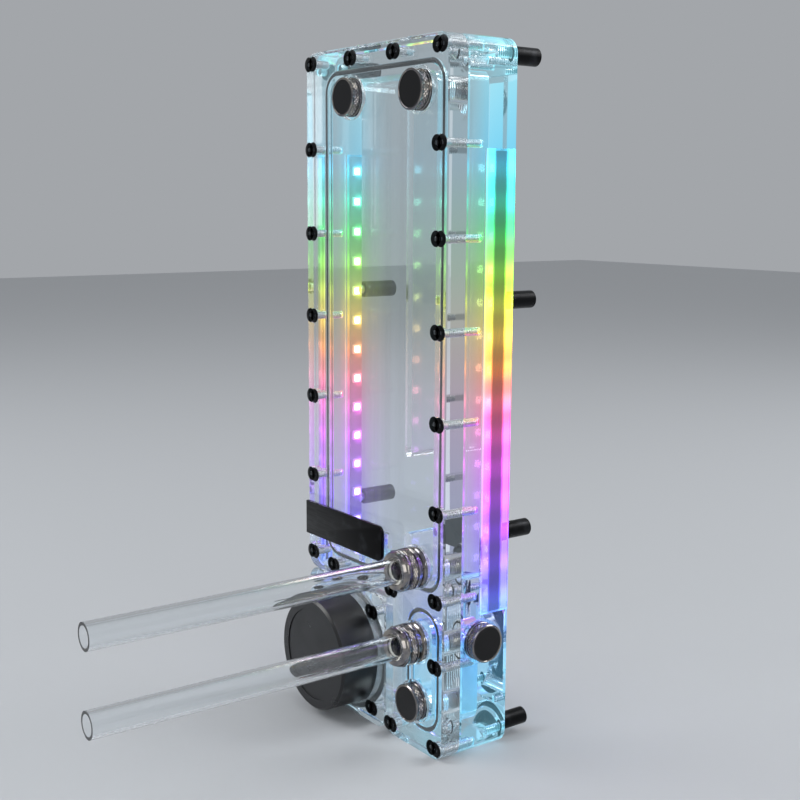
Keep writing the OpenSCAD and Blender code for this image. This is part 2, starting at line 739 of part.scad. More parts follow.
front_cover();
pump_plate();
reservoir_block();
reservoir_seal();
port_seal();
cover_screws();
pump_plate_screws();
standoffs();
name_strip();
top_left_plug();
top_right_plug();
drain_plug();
side_plug();
top_left_plug_seal();
top_right_plug_seal();
drain_plug_seal();
side_plug_seal();
upper_fitting_body();
upper_fitting_collar();
upper_fitting_seals();
upper_grip_ring();
lower_fitting_body();
lower_fitting_collar();
lower_fitting_seals();
lower_grip_ring();
upper_tube();
lower_tube();
pump_can();
pump_end_cap();
pump_seal();
rotor_cup();
bearing_post();
bearing_ball();
stator();
windings();
control_board();
cable_grommet();
impeller();
rotor_magnet();
left_light_strip();
right_light_strip();
left_lamps();
right_lamps();
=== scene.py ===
import math

import bpy
from mathutils import Matrix, Vector


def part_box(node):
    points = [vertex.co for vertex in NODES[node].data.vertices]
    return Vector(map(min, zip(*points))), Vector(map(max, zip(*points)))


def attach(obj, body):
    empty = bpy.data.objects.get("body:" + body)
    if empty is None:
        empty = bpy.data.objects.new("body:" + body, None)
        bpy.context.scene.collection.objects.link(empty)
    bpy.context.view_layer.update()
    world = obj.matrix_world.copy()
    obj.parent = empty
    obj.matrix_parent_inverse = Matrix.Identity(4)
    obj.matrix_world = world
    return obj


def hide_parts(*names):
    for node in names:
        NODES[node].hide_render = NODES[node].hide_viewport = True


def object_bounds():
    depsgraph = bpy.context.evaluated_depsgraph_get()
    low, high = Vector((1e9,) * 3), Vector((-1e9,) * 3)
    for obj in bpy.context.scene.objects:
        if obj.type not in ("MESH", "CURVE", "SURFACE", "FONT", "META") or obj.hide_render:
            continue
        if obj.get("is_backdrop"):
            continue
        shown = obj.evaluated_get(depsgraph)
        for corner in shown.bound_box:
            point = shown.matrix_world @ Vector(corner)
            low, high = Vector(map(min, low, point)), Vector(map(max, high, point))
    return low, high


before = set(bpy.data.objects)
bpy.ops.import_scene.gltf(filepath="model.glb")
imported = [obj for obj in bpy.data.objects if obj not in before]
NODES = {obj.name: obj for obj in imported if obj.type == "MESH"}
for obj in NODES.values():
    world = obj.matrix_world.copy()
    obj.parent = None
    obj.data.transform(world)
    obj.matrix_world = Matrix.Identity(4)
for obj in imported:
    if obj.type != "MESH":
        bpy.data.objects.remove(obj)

cad_low, cad_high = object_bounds()
MM = 0.001
FRONT = Matrix.Rotation(math.radians(90), 4, "X")      # turns a piece made upwards to point out of the front
SIDE = Matrix.Rotation(math.radians(90), 4, "Y")       # the same, out of the right side

bpy.context.scene.view_settings.view_transform = "Standard"

# ---------------------------------------------------------------- camera

camera = bpy.data.objects.new("camera", bpy.data.cameras.new("camera"))
bpy.context.scene.collection.objects.link(camera)
camera.data.lens = 55.3
camera.data.sensor_width = 36
camera.matrix_world = (
    Matrix.Translation((0.5223, -0.4256, 0.1009))
    @ Matrix.Rotation(math.radians(53.85), 4, "Z")
    @ Matrix.Rotation(math.radians(90 - 9.12), 4, "X")
    @ Matrix.Rotation(math.radians(0.29), 4, "Z")
)
bpy.context.scene.camera = camera

# ---------------------------------------------------------------- materials


def tone(code, alpha=1.0):
    """An sRGB hex colour as the linear colour that Blender's sockets take."""
    channels = [int(code[i:i + 2], 16) / 255 for i in (1, 3, 5)]
    linear = [c / 12.92 if c <= 0.04045 else ((c + 0.055) / 1.055) ** 2.4 for c in channels]
    return (*linear, alpha)


def add(mat, kind, inputs=(), **settings):
    """A node in the material, with its settings, and its inputs given a value or linked to another node."""
    node = mat.node_tree.nodes.new(kind)
    for key, value in settings.items():
        setattr(node, key, value)
    for key, value in dict(inputs).items():
        if isinstance(value, bpy.types.Node):
            value = value.outputs[0]
        if isinstance(value, bpy.types.NodeSocket):
            mat.node_tree.links.new(value, node.inputs[key])
        else:
            node.inputs[key].default_value = value
    return node


def new_material(name):
    mat = bpy.data.materials.new(name)
    mat.use_nodes = True
    mat.node_tree.nodes.clear()
    where = add(mat, "ShaderNodeTexCoord").outputs["Object"]
    return mat, where


def finish(mat, shader):
    add(mat, "ShaderNodeOutputMaterial", {"Surface": shader})
    return mat


def clear(mat, shader):
    """Glass that lets the lamps' light through to what it covers."""
    ray = add(mat, "ShaderNodeLightPath").outputs["Is Shadow Ray"]
    return add(mat, "ShaderNodeMixShader", {0: ray, 1: shader, 2: add(mat, "ShaderNodeBsdfTransparent")})


# Sockets given by number: a Map Range takes its value (0) from the span 1 to 2 to the span 3 to 4, and a colour
# Mix goes from 6 to 7 by its factor, 0

# The lamps' colours from the plate's foot to its top, as shares of its height
RAINBOW = [
    (0.02, "#8FE9FF"), (0.13, "#57C8FF"), (0.24, "#6A62FF"), (0.33, "#A44CFF"), (0.42, "#E94DF2"),
    (0.49, "#FF5FA2"), (0.55, "#FF9440"), (0.61, "#FFE14A"), (0.68, "#A9F03C"), (0.74, "#41E26C"),
    (0.79, "#33E3C8"), (0.84, "#4FDDFF"), (0.97, "#9FEFFF"),
]
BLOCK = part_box("reservoir_block")
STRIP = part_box("right_light_strip")
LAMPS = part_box("right_lamps")


def rainbow(mat, height):
    """The lamps' colour at a height."""
    share = add(mat, "ShaderNodeMapRange", {0: height, 1: BLOCK[0].z, 2: BLOCK[1].z})
    ramp = add(mat, "ShaderNodeValToRGB", {0: share})
    stops = ramp.color_ramp.elements
    stops[0].position, stops[1].position = RAINBOW[0][0], RAINBOW[-1][0]
    for where, _ in RAINBOW[1:-1]:
        stops.new(where)
    for stop, (_, code) in zip(stops, RAINBOW):
        stop.color = tone(code)
    return ramp


def acrylic(name, lit):
    """Cast acrylic, flame-polished outside: water clear, sharp reflections, and a faint cool painted light that glows
    where rays have reflected many times inside it, with a fainter dark grey painted light all over the plain plates.
    The bored and milled walls keep fine tool rings, which catch light as bright bands. The lit block also has painted
    light in the lamps' colours where the lamps shine into it, as an emission and as a tint in its base colour: the slot
    walls most, then walls near them."""
    mat, where = new_material(name)
    xyz = add(mat, "ShaderNodeSeparateXYZ", {0: where}).outputs
    side = add(mat, "ShaderNodeMath", {0: xyz["X"]}, operation="ABSOLUTE")
    tall = add(mat, "ShaderNodeMath", {0: xyz["Z"]}, operation="ABSOLUTE")
    geometry = add(mat, "ShaderNodeNewGeometry").outputs
    facing = add(mat, "ShaderNodeMath", {
        0: add(mat, "ShaderNodeSeparateXYZ", {0: geometry["Normal"]}).outputs["Y"]}, operation="ABSOLUTE")
    half_w, half_h = BLOCK[1].x, BLOCK[1].z
    bored = add(mat, "ShaderNodeMapRange", {
        0: facing, 1: 0.4, 2: 0.6, 3: 1, 4: 0}, interpolation_type="SMOOTHSTEP")
    for factor in (
            add(mat, "ShaderNodeMapRange", {
                0: side, 1: half_w - 1.2 * MM, 2: half_w - 0.8 * MM, 3: 1, 4: 0},
                interpolation_type="SMOOTHSTEP"),
            add(mat, "ShaderNodeMapRange", {
                0: tall, 1: half_h - 1.2 * MM, 2: half_h - 0.8 * MM, 3: 1, 4: 0},
                interpolation_type="SMOOTHSTEP")):
        bored = add(mat, "ShaderNodeMath", {0: bored, 1: factor}, operation="MULTIPLY")
    slot = in_slot(mat, xyz, side)
    # rings every 1.3 mm down each bore, as a port's thread and a drill leave
    rings = add(mat, "ShaderNodeTexWave", {
        "Vector": where, "Scale": 0.31416 / (1.3 * MM)}, bands_direction="Y")
    outer = 1.0
    if lit:
        outer = add(mat, "ShaderNodeMath", {
            0: add(mat, "ShaderNodeMapRange", {
                0: side, 1: 49 * MM, 2: 50 * MM}, interpolation_type="SMOOTHSTEP"),
            1: add(mat, "ShaderNodeMapRange", {
                0: slot, 1: 0, 2: 1, 3: 1, 4: 0}, interpolation_type="SMOOTHSTEP")}, operation="MULTIPLY")
    relief = rings
    for factor in (bored, outer):
        relief = add(mat, "ShaderNodeMath", {0: relief, 1: factor}, operation="MULTIPLY")
    # faint rubbed haze, in patches about 30 mm across
    haze = add(mat, "ShaderNodeTexNoise", {"Vector": where, "Scale": 33, "Detail": 3})
    rough = add(mat, "ShaderNodeMath", {
        0: add(mat, "ShaderNodeMapRange", {
            0: haze, 1: 0.35, 2: 0.75, 3: 0.0, 4: 0.02}, interpolation_type="SMOOTHSTEP"),
        1: add(mat, "ShaderNodeMapRange", {
            0: bored, 1: 0, 2: 1, 3: 0.0, 4: 0.08}, interpolation_type="SMOOTHSTEP")}, operation="ADD")
    colours = rainbow(mat, xyz["Z"])
    # painted light: an emission on rays that have reflected more than three times stands in for light led far along the
    # plate by its own faces, so it comes out as a soft glowing at the plate's edges, not as black: the render ends such
    # paths after a few reflections
    painted_glow_mask = add(mat, "ShaderNodeMath", {0: add(mat, "ShaderNodeLightPath").outputs["Glossy Depth"], 1: 3.5},
                  operation="GREATER_THAN")
    painted_edge_glow = add(mat, "ShaderNodeMix", {0: 0.35 if lit else 0.12, 6: tone("#8E9399"), 7: colours},
               data_type="RGBA").outputs[2]
    painted_edge_glow = add(mat, "ShaderNodeMix", {
        "Factor": 1.0, 6: painted_edge_glow,
        7: add(mat, "ShaderNodeMath", {0: painted_glow_mask, 1: 0.2 if lit else 0.45}, operation="MULTIPLY")},
        data_type="RGBA", blend_type="MULTIPLY").outputs[2]
    # painted light: the lit block's emission in the lamps' colours, strongest at the slots; the plain plates get a
    # faint dark grey emission all over
    if lit:
        painted_glow = add(mat, "ShaderNodeMix", {
            "Factor": 1.0, 6: colours, 7: painted_glow_share(mat, xyz, side, bored, slot)},
            data_type="RGBA", blend_type="MULTIPLY").outputs[2]
    else:
        painted_glow = tone("#1C2022")
    shader = {"Roughness": rough, "IOR": 1.49, "Transmission Weight": 1.0,
              "Normal": add(mat, "ShaderNodeBump", {"Height": relief, "Strength": 1.0, "Distance": 0.2 * MM}),
              "Emission Color": add(mat, "ShaderNodeMix", {"Factor": 1.0, 6: painted_glow, 7: painted_edge_glow}, data_type="RGBA",
                                    blend_type="ADD").outputs[2],
              "Emission Strength": 3.0 if lit else 1.0}
    if lit:
        # painted light: the walls near the lamps take the lamps' colours in their base colour, standing in for the
        # lamps' light on them
        near = add(mat, "ShaderNodeMath", {
            0: add(mat, "ShaderNodeMapRange", {
                0: side, 1: 30 * MM, 2: 60 * MM, 3: 0.05, 4: 0.55}, interpolation_type="SMOOTHSTEP"),
            1: add(mat, "ShaderNodeMapRange", {
                0: xyz["Y"], 1: -52 * MM, 2: -28 * MM, 3: 0.15, 4: 1}, interpolation_type="SMOOTHSTEP")},
            operation="MULTIPLY")
        painted_lamp_tint = add(mat, "ShaderNodeMath", {0: near, 1: lower_corner(mat, xyz)}, operation="MAXIMUM")
        shader["Base Color"] = add(mat, "ShaderNodeMix", {0: painted_lamp_tint, 6: tone("#F4FAFC"), 7: colours},
                                   data_type="RGBA").outputs[2]
    else:
        shader["Base Color"] = tone("#F6FBFD")
    return finish(mat, clear(mat, add(mat, "ShaderNodeBsdfPrincipled", shader)))


def lower_corner(mat, xyz):
    """A mask for painted light at the port corner of the block, standing in for the light that runs down the right side
    and gathers there.
    """
    return add(mat, "ShaderNodeMath", {
        0: add(mat, "ShaderNodeMapRange", {
            0: xyz["X"], 1: 8 * MM, 2: 26 * MM, 3: 0, 4: 0.5}, interpolation_type="SMOOTHSTEP"),
        1: add(mat, "ShaderNodeMapRange", {
            0: xyz["Z"], 1: -104 * MM, 2: -88 * MM, 3: 1, 4: 0}, interpolation_type="SMOOTHSTEP")},
        operation="MULTIPLY")


def in_slot(mat, xyz, side):
    """1 on the walls of the two light slots."""
    share = add(mat, "ShaderNodeMapRange", {
        0: side, 1: 55.2 * MM, 2: 55.4 * MM}, interpolation_type="SMOOTHSTEP")
    for factor in (
            add(mat, "ShaderNodeMapRange", {
                0: side, 1: 59.6 * MM, 2: 59.8 * MM, 3: 1, 4: 0}, interpolation_type="SMOOTHSTEP"),
            add(mat, "ShaderNodeMapRange", {
                0: xyz["Y"], 1: -36.9 * MM, 2: -36.7 * MM}, interpolation_type="SMOOTHSTEP"),
            add(mat, "ShaderNodeMapRange", {
                0: xyz["Z"], 1: STRIP[0].z - 1.5 * MM, 2: STRIP[0].z - 1.2 * MM},
                interpolation_type="SMOOTHSTEP"),
            add(mat, "ShaderNodeMapRange", {
                0: xyz["Z"], 1: STRIP[1].z + 1.2 * MM, 2: STRIP[1].z + 1.5 * MM, 3: 1, 4: 0},
                interpolation_type="SMOOTHSTEP")):
        share = add(mat, "ShaderNodeMath", {0: share, 1: factor}, operation="MULTIPLY")
    return share


def painted_glow_share(mat, xyz, side, bored, slot):
    """How much painted lamp light a point of the block gives back as emission, from 0 to 1."""
    middle = (STRIP[0].y + STRIP[1].y) / 2
    half_strip = (STRIP[1].y - STRIP[0].y) / 2
    pitch = (LAMPS[1].z - LAMPS[0].z - 5 * MM) / 13
    top_lamp = LAMPS[1].z - 2.5 * MM
    off = add(mat, "ShaderNodeMath", {0: xyz["Y"], 1: middle}, operation="SUBTRACT")
    off = add(mat, "ShaderNodeMath", {0: off}, operation="ABSOLUTE")
    drop = add(mat, "ShaderNodeMath", {0: xyz["Z"], 1: top_lamp}, operation="SUBTRACT")
    drop = add(mat, "ShaderNodeMath", {0: drop, 1: pitch / 2}, operation="PINGPONG")
    away = add(mat, "ShaderNodeMath", {
        0: add(mat, "ShaderNodeMath", {0: off, 1: off}, operation="MULTIPLY"),
        1: add(mat, "ShaderNodeMath", {0: drop, 1: drop}, operation="MULTIPLY")}, operation="ADD")
    away = add(mat, "ShaderNodeMath", {0: away}, operation="SQRT")
    # painted highlight: through the clear side each slot shows a bright column before and behind its strip
    column = add(mat, "ShaderNodeMapRange", {
        0: off, 1: half_strip - 1.2 * MM, 2: half_strip + 0.6 * MM, 3: 0.1, 4: 1},
        interpolation_type="SMOOTHSTEP")
    for factor in (
            add(mat, "ShaderNodeMapRange", {
                0: xyz["X"], 1: -1 * MM, 2: 1 * MM, 3: 0.25, 4: 1}, interpolation_type="SMOOTHSTEP"),
            add(mat, "ShaderNodeMapRange", {
                0: drop, 1: 1 * MM, 2: 7 * MM, 3: 1, 4: 0.5}, interpolation_type="SMOOTHSTEP"),
            add(mat, "ShaderNodeMapRange", {
                0: side, 1: 57 * MM, 2: 58 * MM}, interpolation_type="SMOOTHSTEP")):
        column = add(mat, "ShaderNodeMath", {0: column, 1: factor}, operation="MULTIPLY")
    # painted light: a halo round each lamp on the inner slot walls
    halo = add(mat, "ShaderNodeMath", {
        0: add(mat, "ShaderNodeMapRange", {
            0: away, 1: 1 * MM, 2: 6 * MM, 3: 0.3, 4: 0.0}, interpolation_type="SMOOTHSTEP"),
        1: add(mat, "ShaderNodeMapRange", {
            0: side, 1: 57 * MM, 2: 58 * MM, 3: 1, 4: 0}, interpolation_type="SMOOTHSTEP")},
        operation="MULTIPLY")
    walls = add(mat, "ShaderNodeMath", {
        0: slot, 1: add(mat, "ShaderNodeMath", {0: column, 1: halo}, operation="ADD")}, operation="MULTIPLY")
    # painted light on the rest of the block, fading forwards and inwards from the slots
    near = add(mat, "ShaderNodeMapRange", {
        0: side, 1: 20 * MM, 2: 62 * MM, 3: 0, 4: 1}, interpolation_type="SMOOTHSTEP")
    for factor in (
            add(mat, "ShaderNodeMapRange", {
                0: off, 1: 2 * MM, 2: 26 * MM, 3: 1, 4: 0.1}, interpolation_type="SMOOTHSTEP"),
            add(mat, "ShaderNodeMapRange", {
                0: slot, 1: 0, 2: 1, 3: 1, 4: 0}, interpolation_type="SMOOTHSTEP")):
        near = add(mat, "ShaderNodeMath", {0: near, 1: factor}, operation="MULTIPLY")
    corner = add(mat, "ShaderNodeMath", {0: near, 1: lower_corner(mat, xyz)}, operation="MAXIMUM")
    rest = add(mat, "ShaderNodeMath", {
        0: corner,
        1: add(mat, "ShaderNodeMath", {
            0: add(mat, "ShaderNodeMath", {0: bored, 1: 0.08}, operation="MULTIPLY"), 1: 0.03},
            operation="ADD")}, operation="MULTIPLY")
    return add(mat, "ShaderNodeMath", {0: walls, 1: rest}, operation="ADD", use_clamp=True)


def rubber(name):
    """EPDM seal cord: near black and matt, with a dusty skin of fine grain."""
    mat, where = new_material(name)
    grain = add(mat, "ShaderNodeTexNoise", {"Vector": where, "Scale": 1 / (0.4 * MM), "Detail": 4})
    dust = add(mat, "ShaderNodeTexNoise", {"Vector": where, "Scale": 1 / (14 * MM), "Detail": 2})
    colour = add(mat, "ShaderNodeMix", {
        0: add(mat, "ShaderNodeMapRange", {0: dust, 1: 0.45, 2: 0.75}, interpolation_type="SMOOTHSTEP"),
        6: tone("#060607"), 7: tone("#111113")}, data_type="RGBA").outputs[2]
    return finish(
        mat,
        add(mat, "ShaderNodeBsdfPrincipled", {
            "Base Color": colour,
            "Roughness": add(mat, "ShaderNodeMapRange", {
                0: grain, 1: 0.3, 2: 0.7, 3: 0.45, 4: 0.6}, interpolation_type="SMOOTHSTEP"),
            "IOR": 1.52, "Specular IOR Level": 0.15,
            "Normal": add(mat, "ShaderNodeBump", {"Height": grain, "Strength": 0.5, "Distance": 0.05 * MM})}))


def black_oxide(name):
    """Black oxide on steel screws: a dark oily film on the head's face, with the cone and shank left in bright zinc."""
    mat, where = new_material(name)
    depth = add(mat, "ShaderNodeSeparateXYZ", {0: where}).outputs["Y"]
    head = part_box("cover_screws")[0].y + 0.45 * MM
    shank = add(mat, "ShaderNodeMapRange", {
        0: depth, 1: head, 2: head + 0.1 * MM}, interpolation_type="SMOOTHSTEP")
    grain = add(mat, "ShaderNodeTexNoise", {"Vector": where, "Scale": 1 / (0.8 * MM), "Detail": 3})
    colour = add(mat, "ShaderNodeMix", {0: shank, 6: tone("#17181A"), 7: tone("#C9CCD0")},
                 data_type="RGBA").outputs[2]
    return finish(
        mat,
        add(mat, "ShaderNodeBsdfPrincipled", {
            "Base Color": colour, "Metallic": 1.0,
            "Roughness": add(mat, "ShaderNodeMapRange", {
                0: grain, 1: 0.3, 2: 0.7, 3: 0.24, 4: 0.4}, interpolation_type="SMOOTHSTEP")}))


def anodised(name, code, rough):
    """Anodised aluminium, turned or rolled and bead blasted: satin, with faint lines every 0.6 mm."""
    mat, where = new_material(name)
    lines = add(mat, "ShaderNodeTexNoise", {
        "Vector": add(mat, "ShaderNodeMapping", {"Vector": where, "Scale": (0.04, 1, 1)}),
        "Scale": 1 / (0.6 * MM), "Detail": 2})
    worn = add(mat, "ShaderNodeTexNoise", {"Vector": where, "Scale": 1 / (9 * MM), "Detail": 4})
    colour = add(mat, "ShaderNodeMix", {
        0: add(mat, "ShaderNodeMapRange", {0: worn, 1: 0.5, 2: 0.8}, interpolation_type="SMOOTHSTEP"),
        6: tone(code), 7: tone("#2A2C2F")}, data_type="RGBA").outputs[2]
    return finish(
        mat,
        add(mat, "ShaderNodeBsdfPrincipled", {
            "Base Color": colour, "Metallic": 0.85,
            "Roughness": add(mat, "ShaderNodeMapRange", {
                0: lines, 1: 0.3, 2: 0.7, 3: rough, 4: rough + 0.12}, interpolation_type="SMOOTHSTEP"),
            "Normal": add(mat, "ShaderNodeBump", {
                "Height": lines, "Strength": 0.35, "Distance": 0.02 * MM})}))


def dark_nickel(name):
    """Black nickel plate on turned brass: a smoky mirror with a slight warm cast and hairline turning marks."""
    mat, where = new_material(name)
    smoke = add(mat, "ShaderNodeTexNoise", {"Vector": where, "Scale": 1 / (7 * MM), "Detail": 3})
    fine = add(mat, "ShaderNodeTexNoise", {"Vector": where, "Scale": 1 / (0.35 * MM), "Detail": 2})
    colour = add(mat, "ShaderNodeMix", {
        0: add(mat, "ShaderNodeMapRange", {0: smoke, 1: 0.35, 2: 0.65}, interpolation_type="SMOOTHSTEP"),
        6: tone("#77757A"), 7: tone("#A09A92")}, data_type="RGBA").outputs[2]
    return finish(
        mat,
        add(mat, "ShaderNodeBsdfPrincipled", {
            "Base Color": colour, "Metallic": 1.0,
            "Roughness": add(mat, "ShaderNodeMapRange", {
                0: fine, 1: 0.3, 2: 0.7, 3: 0.1, 4: 0.2}, interpolation_type="SMOOTHSTEP"),
            "Normal": add(mat, "ShaderNodeBump", {"Height": fine, "Strength": 0.25, "Distance": 0.01 * MM})}))


def plug_face(name):
    """The plugs' pressed-in caps: piano-black lacquer, mirror smooth, with the odd hairline."""
    mat, where = new_material(name)
    hair = add(mat, "ShaderNodeTexNoise", {
        "Vector": add(mat, "ShaderNodeMapping", {
            "Vector": where, "Rotation": (0, 0.6, 0), "Scale": (0.05, 1, 1)}),
        "Scale": 1 / (0.5 * MM), "Detail": 2})
    return finish(
        mat,
        add(mat, "ShaderNodeBsdfPrincipled", {
            "Base Color": tone("#050506"),
            "Roughness": add(mat, "ShaderNodeMapRange", {
                0: hair, 1: 0.6, 2: 0.75, 3: 0.05, 4: 0.14}, interpolation_type="SMOOTHSTEP"),
            "IOR": 1.5, "Specular IOR Level": 0.3}))


def clear_tube(name):
    """Extruded PETG tube: clear, with faint draw lines along it, one about every 2 mm round it."""
    mat, where = new_material(name)
    lines = add(mat, "ShaderNodeTexNoise", {
        "Vector": add(mat, "ShaderNodeMapping", {"Vector": where, "Scale": (1, 0.01, 1)}),
        "Scale": 1 / (2 * MM), "Detail": 1})
    return finish(
        mat,
        clear(
            mat,
            add(mat, "ShaderNodeBsdfPrincipled", {
                "Base Color": tone("#FBFDFE"),
                "Roughness": add(mat, "ShaderNodeMapRange", {
                    0: lines, 1: 0.45, 2: 0.7, 3: 0.01, 4: 0.05}, interpolation_type="SMOOTHSTEP"),
                "IOR": 1.57, "Transmission Weight": 1.0,
                "Normal": add(mat, "ShaderNodeBump", {
                    "Height": lines, "Strength": 0.3, "Distance": 0.05 * MM})})))


def moulded(name, code, rough, grain_mm=0.5, depth=0.03):
    """Injection-moulded plastic from a spark-eroded tool: an even satin grain that softens every highlight."""
    mat, where = new_material(name)
    grain = add(mat, "ShaderNodeTexNoise", {"Vector": where, "Scale": 1 / (grain_mm * MM), "Detail": 3})
    rub = add(mat, "ShaderNodeTexNoise", {"Vector": where, "Scale": 1 / (22 * MM), "Detail": 3})
    return finish(
        mat,
        add(mat, "ShaderNodeBsdfPrincipled", {
            "Base Color": tone(code),
            "Roughness": add(mat, "ShaderNodeMapRange", {
                0: rub, 1: 0.35, 2: 0.7, 3: rough - 0.08, 4: rough + 0.08}, interpolation_type="SMOOTHSTEP"),
            "IOR": 1.5,
            "Normal": add(mat, "ShaderNodeBump", {
                "Height": grain, "Strength": 0.6, "Distance": depth * MM})}))


def drawn_steel(name, code, rough):
    """Deep-drawn stainless steel: bright, with fine lines along the draw."""
    mat, where = new_material(name)
    lines = add(mat, "ShaderNodeTexNoise", {
        "Vector": add(mat, "ShaderNodeMapping", {"Vector": where, "Scale": (1, 0.03, 1)}),
        "Scale": 1 / (0.3 * MM), "Detail": 2})
    return finish(
        mat,
        add(mat, "ShaderNodeBsdfPrincipled", {
            "Base Color": tone(code), "Metallic": 1.0,
            "Roughness": add(mat, "ShaderNodeMapRange", {
                0: lines, 1: 0.3, 2: 0.7, 3: rough, 4: rough + 0.15}, interpolation_type="SMOOTHSTEP")}))


def laminations(name):
    """Electrical steel sheets stacked along the pump's axis, 0.5 mm each: dark edges with a blue-grey oxide."""
    mat, where = new_material(name)
    sheets = add(mat, "ShaderNodeTexWave", {
        "Vector": where, "Scale": 0.31416 / (0.5 * MM)}, bands_direction="Y")
    colour = add(mat, "ShaderNodeMix", {
        0: sheets, 6: tone("#33363B"), 7: tone("#6B6F76")}, data_type="RGBA").outputs[2]
    return finish(mat, add(mat, "ShaderNodeBsdfPrincipled", {
        "Base Color": colour, "Metallic": 1.0, "Roughness": 0.42,
        "Normal": add(mat, "ShaderNodeBump", {"Height": sheets, "Strength": 0.6, "Distance": 0.08 * MM})}))


def enamelled_wire(name):
    """Enamelled copper wound 0.6 mm a turn: amber-red gloss over ribbed turns."""
    mat, where = new_material(name)
    turns = add(mat, "ShaderNodeTexWave", {
        "Vector": where, "Scale": 0.31416 / (0.6 * MM)}, bands_direction="DIAGONAL")
    colour = add(mat, "ShaderNodeMix", {
        0: turns, 6: tone("#6E2F12"), 7: tone("#C9713A")}, data_type="RGBA").outputs[2]
    return finish(mat, add(mat, "ShaderNodeBsdfPrincipled", {
        "Base Color": colour, "Metallic": 0.9, "Roughness": 0.3, "Coat Weight": 0.5, "Coat Roughness": 0.1,
        "Normal": add(mat, "ShaderNodeBump", {"Height": turns, "Strength": 0.8, "Distance": 0.2 * MM})}))


def solder_mask(name, code, track_code):
    """Circuit board: a glossy lacquer over copper tracks laid about 2 mm apart."""
    mat, where = new_material(name)
    tracks = add(mat, "ShaderNodeTexBrick", {
        "Vector": where, "Color1": (0, 0, 0, 1), "Color2": (0, 0, 0, 1), "Mortar": (1, 1, 1, 1),
        "Scale": 1 / (8 * MM), "Mortar Size": 0.04, "Brick Width": 0.6, "Row Height": 0.25})
    colour = add(mat, "ShaderNodeMix", {
        0: tracks, 6: tone(code), 7: tone(track_code)}, data_type="RGBA").outputs[2]
    return finish(mat, add(mat, "ShaderNodeBsdfPrincipled", {
        "Base Color": colour, "Roughness": 0.28, "IOR": 1.5,
        "Normal": add(mat, "ShaderNodeBump", {"Height": tracks, "Strength": 0.5, "Distance": 0.05 * MM})}))


def ceramic(name):
    """Zirconia ball: dense, white and mirror polished, with the slightest cream cloud."""
    mat, where = new_material(name)
    cloud = add(mat, "ShaderNodeTexNoise", {"Vector": where, "Scale": 1 / (3 * MM), "Detail": 2})
    colour = add(mat, "ShaderNodeMix", {
        0: cloud, 6: tone("#F1EEE6"), 7: tone("#FAF8F3")}, data_type="RGBA").outputs[2]
    return finish(
        mat, add(mat, "ShaderNodeBsdfPrincipled", {"Base Color": colour, "Roughness": 0.08, "IOR": 2.1}))


def lamp_resin(name):
    """The lamps' lit resin windows: almost white in the middle, so bright that only a rim keeps its colour."""
    mat, where = new_material(name)
    xyz = add(mat, "ShaderNodeSeparateXYZ", {0: where}).outputs
    blush = add(mat, "ShaderNodeMix", {0: 0.35, 6: rainbow(mat, xyz["Z"]), 7: tone("#FFFFFF")},
                data_type="RGBA").outputs[2]
    return finish(mat, add(mat, "ShaderNodeBsdfPrincipled", {
        "Base Color": tone("#FFFFFF"), "Roughness": 0.3, "IOR": 1.5, "Emission Color": blush,
        "Emission Strength": 9.0}))


def lit_board(name):
    """The strips' white flexible board, with a faint painted light in the colour of the lamp beside it, given off by
    the board itself.
    """
    mat, where = new_material(name)
    xyz = add(mat, "ShaderNodeSeparateXYZ", {0: where}).outputs
    weave = add(mat, "ShaderNodeTexNoise", {"Vector": where, "Scale": 1 / (0.6 * MM), "Detail": 2})
    return finish(
        mat,
        add(mat, "ShaderNodeBsdfPrincipled", {
            "Base Color": tone("#7C7F80"),
            "Roughness": add(mat, "ShaderNodeMapRange", {
                0: weave, 1: 0.3, 2: 0.7, 3: 0.35, 4: 0.5}, interpolation_type="SMOOTHSTEP"),
            "IOR": 1.5, "Emission Color": rainbow(mat, xyz["Z"]), "Emission Strength": 0.08,
            "Normal": add(mat, "ShaderNodeBump", {"Height": weave, "Strength": 0.4, "Distance": 0.02 * MM})}))


CLEAR_PLATE = acrylic("polished_cast_acrylic", False)
LIT_BLOCK = acrylic("polished_cast_acrylic_edge_lit", True)
RUBBER = rubber("epdm_rubber")
SCREW = black_oxide("black_oxide_steel")
STANDOFF = anodised("black_anodised_standoff", "#0E0F11", 0.34)
NAME_STRIP = anodised("black_anodised_strip", "#070708", 0.3)
NICKEL = dark_nickel("black_nickel_plate")
PLUG_FACE = plug_face("piano_black_lacquer")
TUBE = clear_tube("clear_petg_tube")
GRIP = moulded("natural_acetal", "#E6E4DC", 0.4)
CAN = moulded("black_glass_filled_nylon", "#0D0E10", 0.38, 0.7, 0.05)
CAP = moulded("black_abs", "#101114", 0.34, 0.5, 0.03)
STEEL = drawn_steel("drawn_stainless_steel", "#B9BABC", 0.2)
CORE = laminations("electrical_steel_laminations")
WIRE = enamelled_wire("enamelled_copper_wire")
BOARD = solder_mask("green_circuit_board", "#0C3B1E", "#1E6B3A")
BALL = ceramic("zirconia")
IMPELLER = moulded("white_pps", "#DADCDD", 0.35)
MAGNET = moulded("sintered_ferrite", "#3A3A3D", 0.55, 0.3, 0.06)
RESIN = lamp_resin("lit_lamp_resin")
PACKAGE = moulded("white_lamp_housing", "#F2F2EE", 0.45, 0.3, 0.01)
STRIP_BOARD = lit_board("white_flexible_board")

